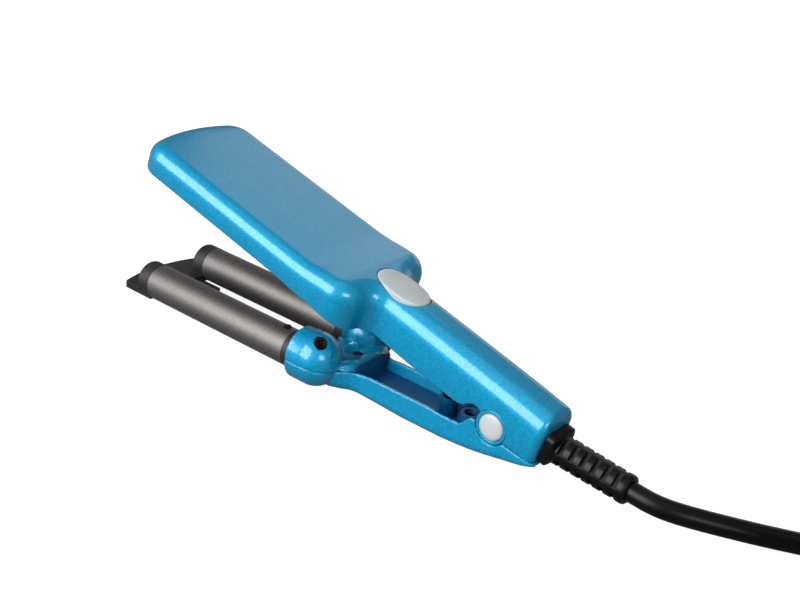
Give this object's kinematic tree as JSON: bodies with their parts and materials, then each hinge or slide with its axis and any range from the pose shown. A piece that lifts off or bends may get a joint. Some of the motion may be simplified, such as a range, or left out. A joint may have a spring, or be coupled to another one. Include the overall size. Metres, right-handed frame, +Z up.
{
  "type": "hair waver",
  "caption": "Small hair waving tongs: two lower barrels on a sprung arm close on a middle barrel under a broad blue head, with a button and mains lead.",
  "frame": {"origin": "middle of the footprint of the waver without its lead, on the surface it lies on", "axes": "+X runs from the barrel tips to the lead, +Y to the far side, +Z up"},
  "size_m": [0.3641, 0.0666, 0.0644],
  "materials": {
    "pearl_blue": "metallic pearl paint on moulded plastic",
    "grey_trim": "satin light grey",
    "black_plastic": "satin black, heat resistant",
    "barrel_metal": "satin dark warm grey coating",
    "core_metal": "extruded",
    "heating_strip": "insulated strip",
    "screw_steel": "bright",
    "dark_screw": "black oxide",
    "spring_steel": "bright wire",
    "board": "solder mask",
    "component": "moulded",
    "fuse_metal": "drawn can",
    "lead_brown": "wire insulation",
    "lead_red": "silicone wire insulation",
    "lead_black": "satin black PVC",
    "pin_metal": "nickel plated"
  },
  "bodies": {
    "handle": {"upper_shell": "pearl_blue", "heat_shield": "black_plastic", "base_cover": "pearl_blue", "cord_clamp": "pearl_blue", "tact_switch": "component", "button_spring": "spring_steel", "control_board": "board", "board_parts": "component", "thermal_fuse": "fuse_metal", "power_leads": "lead_brown", "heater_leads": "lead_red", "middle_barrel": "barrel_metal", "middle_tip": "black_plastic", "middle_collar": "black_plastic", "middle_heater": "core_metal", "middle_element": "heating_strip", "holder_screws": "screw_steel", "shield_screws": "screw_steel", "cover_screw": "screw_steel", "clamp_screws": "screw_steel", "pivot_screw": "screw_steel", "near_pivot_cap": "grey_trim", "far_pivot_cap": "grey_trim", "strain_relief": "lead_black", "cord_inside": "lead_black", "cord": "lead_black", "cord_hank": "lead_black", "cord_tie": "lead_black", "plug_body": "lead_black", "plug_pins": "pin_metal"},
    "clamp_arm": {"arm_base": "pearl_blue", "arm_cover": "pearl_blue", "near_barrel": "barrel_metal", "far_barrel": "barrel_metal", "near_collar": "black_plastic", "far_collar": "black_plastic", "tip_bridge": "black_plastic", "near_heater": "core_metal", "far_heater": "core_metal", "near_element": "heating_strip", "far_element": "heating_strip", "arm_leads": "lead_red", "barrel_screws": "dark_screw", "socket_screws": "dark_screw", "arm_screws": "dark_screw", "return_spring": "spring_steel"},
    "button": {"power_button": "grey_trim"}
  },
  "joints": [
    {"name": "arm_hinge", "type": "hinge", "parent": "handle", "child": "clamp_arm", "pos_m": [0.0568, 0, 0.0126], "axis": [0, 1, 0], "range_deg": [0, 13.8], "stiffness_Nm_per_rad": 0.3, "springref_deg": -34.38, "deforming": ["return_spring"]},
    {"name": "button_press", "type": "slide", "parent": "handle", "child": "button", "axis": [-0.2554, 0, -0.9668], "range_m": [0, 0.001], "stiffness_N_per_m": 500, "springref_m": -0.002, "deforming": ["button_spring"]}
  ]
}
